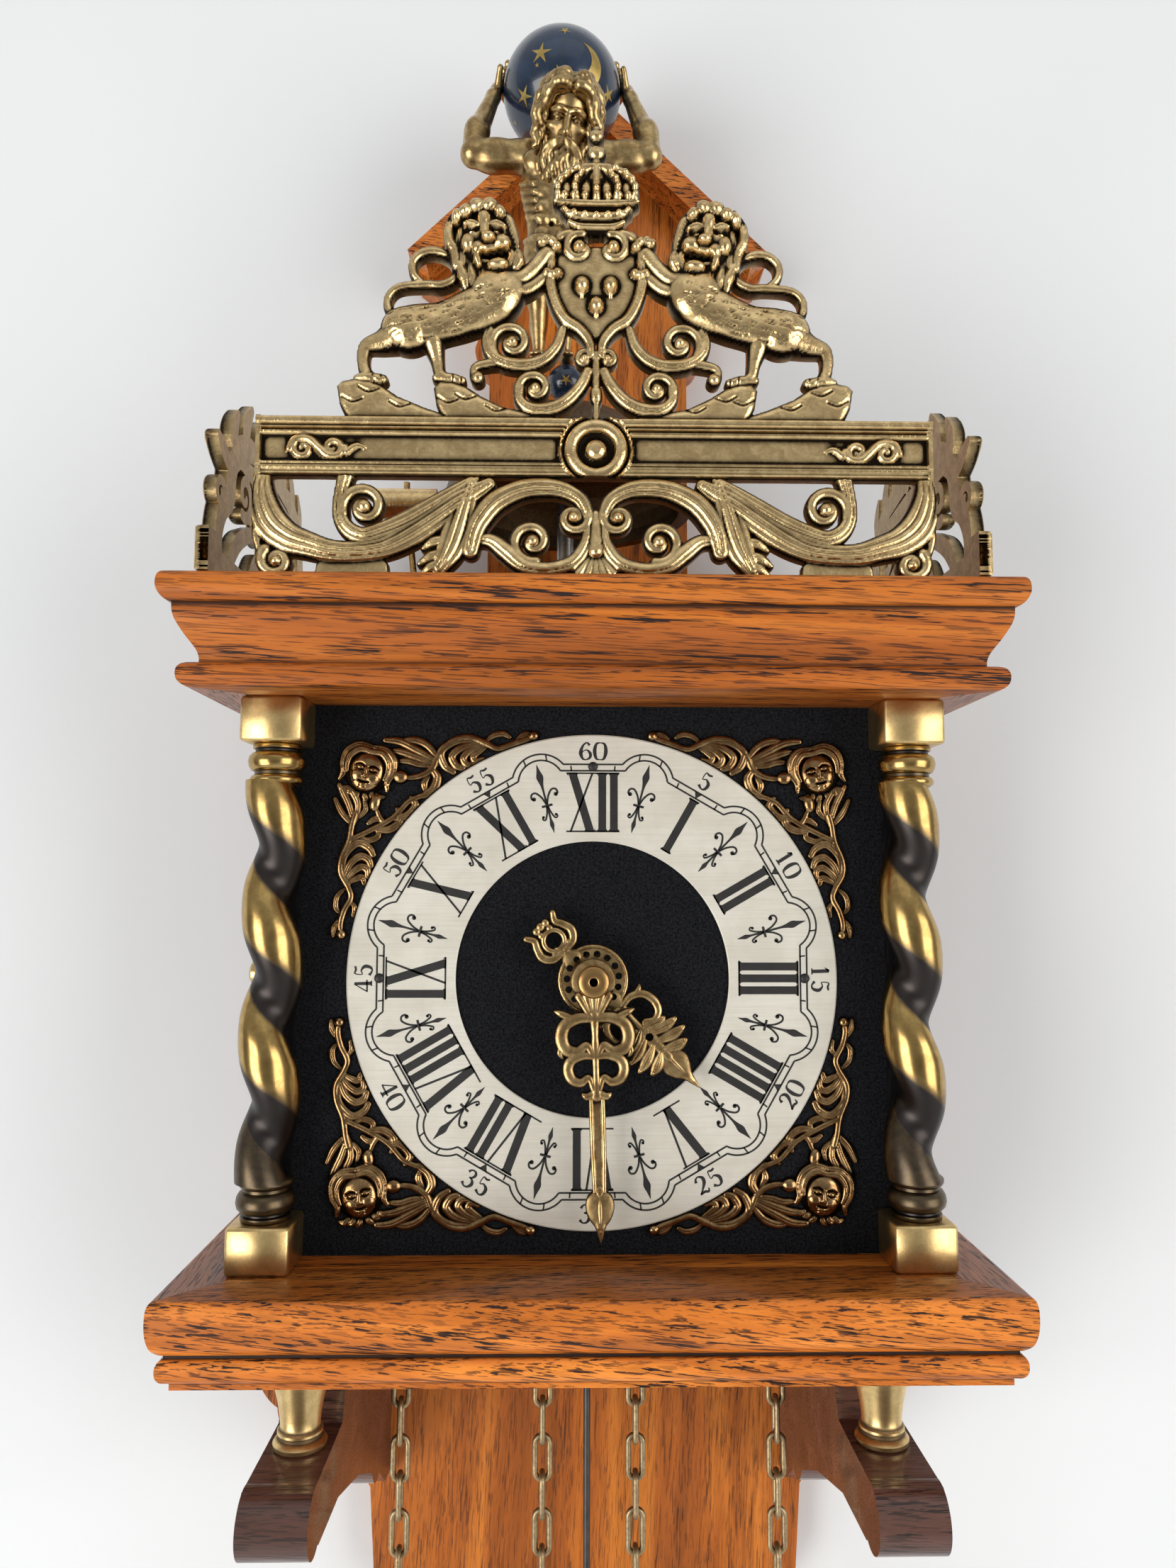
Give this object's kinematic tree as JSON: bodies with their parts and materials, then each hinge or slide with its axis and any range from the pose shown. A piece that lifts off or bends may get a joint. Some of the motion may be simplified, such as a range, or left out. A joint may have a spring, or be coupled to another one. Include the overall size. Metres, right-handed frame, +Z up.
{
  "type": "zaandam wall clock",
  "caption": "weight-driven wall clock of the Zaan type: glazed oak case on a gabled board, twisted brass columns, lion fret, bell and globe-bearing figure on top",
  "frame": {"origin": "on the wall face of the back board, at the height of the hand axis", "axes": "+Z up, +Y into the wall, +X to the viewer's right"},
  "size_m": [0.252, 0.1558, 0.7232],
  "materials": {
    "oak": "satin varnish",
    "dark_oak": "satin varnish",
    "antique_brass": "antiqued cast",
    "bright_brass": "polished",
    "steel": "brushed",
    "velvet": "black pile",
    "silvered_ring": "silvered, fine brushed",
    "black_iron": "satin",
    "blue_paint": "satin",
    "bell_bronze": "dark",
    "glass": "clear"
  },
  "bodies": {
    "case": {"back_board": "oak", "gable_mouldings": "oak", "corbels": "dark_oak", "corbel_cups": "bright_brass", "base_front_rail": "oak", "base_side_rails": "oak", "base_panel": "oak", "cornice_front": "oak", "cornice_sides": "oak", "cornice_top_board": "oak", "front_stiles": "oak", "dial_board": "velvet", "column_shafts": "antique_brass", "column_blocks": "bright_brass", "chapter_ring": "silvered_ring", "dial_pins": "black_iron", "spandrels": "antique_brass", "front_fret": "antique_brass", "side_frets": "antique_brass", "atlas_figure": "antique_brass", "atlas_globe": "blue_paint", "foot_ball": "blue_paint", "bell": "bell_bronze", "bell_post": "steel", "front_plate": "bright_brass", "back_plate": "bright_brass", "plate_pillars": "bright_brass", "movement_blocks": "oak", "pendulum_bridge": "bright_brass"},
    "door_left": {"side_door_left": "oak", "door_glass_left": "glass"},
    "door_right": {"side_door_right": "oak", "door_glass_right": "glass"},
    "minute_hand": {"minute_hand": "antique_brass", "cannon_pinion": "bright_brass", "hand_nut": "bright_brass"},
    "minute_wheel": {"minute_wheel": "bright_brass"},
    "hour_hand": {"hour_hand": "antique_brass", "hour_wheel": "bright_brass"},
    "time_sprocket": {"time_sprocket": "bright_brass"},
    "time_great": {"time_great_wheel": "bright_brass"},
    "second": {"time_second_wheel": "bright_brass"},
    "centre": {"centre_wheel": "bright_brass"},
    "third": {"third_wheel": "bright_brass"},
    "escape": {"escape_wheel": "bright_brass"},
    "anchor": {"anchor": "steel"},
    "pendulum": {"pendulum_rod": "steel", "pendulum_bob": "bright_brass"},
    "strike_sprocket": {"strike_sprocket": "bright_brass"},
    "strike_great": {"strike_great_wheel": "bright_brass"},
    "pin_wheel": {"strike_pin_wheel": "bright_brass"},
    "fly": {"strike_fly": "bright_brass"},
    "hammer": {"hammer": "antique_brass"},
    "time_weight": {"time_weight": "bright_brass", "time_weight_chain": "antique_brass"},
    "time_free": {"time_free_chain": "antique_brass"},
    "strike_weight": {"strike_weight": "bright_brass", "strike_weight_chain": "antique_brass"},
    "strike_free": {"strike_free_chain": "antique_brass"}
  },
  "joints": [
    {"name": "door_left_hinge", "type": "hinge", "parent": "case", "child": "door_left", "pos_m": [-0.0965, -0.023, 0], "axis": [0, 0, -1], "range_deg": [0, 95]},
    {"name": "door_right_hinge", "type": "hinge", "parent": "case", "child": "door_right", "pos_m": [0.0965, -0.023, 0], "axis": [0, 0, 1], "range_deg": [0, 95]},
    {"name": "minute_hand_spin", "type": "hinge", "parent": "case", "child": "minute_hand", "pos_m": [0, -0.12, 0], "axis": [0, 1, 0], "continuous": true},
    {"name": "minute_wheel_spin", "type": "hinge", "parent": "case", "child": "minute_wheel", "pos_m": [0, -0.104, -0.02], "axis": [0, 1, 0], "continuous": true},
    {"name": "hour_hand_spin", "type": "hinge", "parent": "case", "child": "hour_hand", "pos_m": [0, -0.114, 0], "axis": [0, 1, 0], "continuous": true},
    {"name": "third_spin", "type": "hinge", "parent": "case", "child": "third", "pos_m": [-0.008, -0.075, 0.02049], "axis": [0, 1, 0], "continuous": true},
    {"name": "escape_spin", "type": "hinge", "parent": "case", "child": "escape", "pos_m": [0, -0.075, 0.03617], "axis": [0, 1, 0], "continuous": true},
    {"name": "centre_spin", "type": "hinge", "parent": "case", "child": "centre", "pos_m": [0, -0.075, 0], "axis": [0, 1, 0], "continuous": true},
    {"name": "second_spin", "type": "hinge", "parent": "case", "child": "second", "pos_m": [0.02217, -0.075, 0.0092], "axis": [0, 1, 0], "continuous": true},
    {"name": "time_great_spin", "type": "hinge", "parent": "case", "child": "time_great", "pos_m": [0.0388, -0.075, -0.02], "axis": [0, 1, 0], "continuous": true},
    {"name": "pin_wheel_spin", "type": "hinge", "parent": "case", "child": "pin_wheel", "pos_m": [-0.0388, -0.075, 0.0136], "axis": [0, 1, 0], "continuous": true},
    {"name": "fly_spin", "type": "hinge", "parent": "case", "child": "fly", "pos_m": [-0.029, -0.075, 0.03057], "axis": [0, 1, 0], "continuous": true},
    {"name": "strike_great_spin", "type": "hinge", "parent": "case", "child": "strike_great", "pos_m": [-0.0388, -0.075, -0.02], "axis": [0, 1, 0], "continuous": true},
    {"name": "time_weight_slide", "type": "slide", "parent": "case", "child": "time_weight", "axis": [0, 0, 1], "range_m": [-0.06, 0.06]},
    {"name": "time_free_slide", "type": "slide", "parent": "case", "child": "time_free", "axis": [0, 0, 1], "range_m": [-0.06, 0.06]},
    {"name": "time_sprocket_spin", "type": "hinge", "parent": "case", "child": "time_sprocket", "pos_m": [0.0388, -0.075, -0.02], "axis": [0, 1, 0], "range_deg": [-150, 150]},
    {"name": "strike_weight_slide", "type": "slide", "parent": "case", "child": "strike_weight", "axis": [0, 0, 1], "range_m": [-0.06, 0.06]},
    {"name": "strike_free_slide", "type": "slide", "parent": "case", "child": "strike_free", "axis": [0, 0, 1], "range_m": [-0.06, 0.06]},
    {"name": "strike_sprocket_spin", "type": "hinge", "parent": "case", "child": "strike_sprocket", "pos_m": [-0.0388, -0.075, -0.02], "axis": [0, 1, 0], "range_deg": [-150, 150]},
    {"name": "pendulum_swing", "type": "hinge", "parent": "case", "child": "pendulum", "pos_m": [0, -0.038, 0.055], "axis": [0, 1, 0], "range_deg": [-4, 4]},
    {"name": "anchor_rock", "type": "hinge", "parent": "case", "child": "anchor", "pos_m": [0, -0.075, 0.055], "axis": [0, 1, 0], "range_deg": [-4, 4]},
    {"name": "hammer_swing", "type": "hinge", "parent": "case", "child": "hammer", "pos_m": [-0.052, -0.072, 0.044], "axis": [0, 1, 0], "range_deg": [-10, 0], "stiffness_Nm_per_rad": 0.08, "springref_deg": 17.19}
  ],
  "couplings": [
    {"joint": "minute_wheel_spin", "follows": "minute_hand_spin", "ratio": -0.33333},
    {"joint": "hour_hand_spin", "follows": "minute_hand_spin", "ratio": 0.083333},
    {"joint": "escape_spin", "follows": "third_spin", "ratio": -10},
    {"joint": "centre_spin", "follows": "third_spin", "ratio": -0.1},
    {"joint": "second_spin", "follows": "third_spin", "ratio": 0.025},
    {"joint": "time_great_spin", "follows": "third_spin", "ratio": -0.0041667},
    {"joint": "fly_spin", "follows": "pin_wheel_spin", "ratio": -6},
    {"joint": "strike_great_spin", "follows": "pin_wheel_spin", "ratio": -0.16667},
    {"joint": "time_free_slide", "follows": "time_weight_slide", "ratio": -1},
    {"joint": "time_sprocket_spin", "follows": "time_weight_slide", "rad_per_m": -42.735},
    {"joint": "strike_free_slide", "follows": "strike_weight_slide", "ratio": -1},
    {"joint": "strike_sprocket_spin", "follows": "strike_weight_slide", "rad_per_m": 42.735},
    {"joint": "anchor_rock", "follows": "pendulum_swing", "ratio": 1}
  ]
}
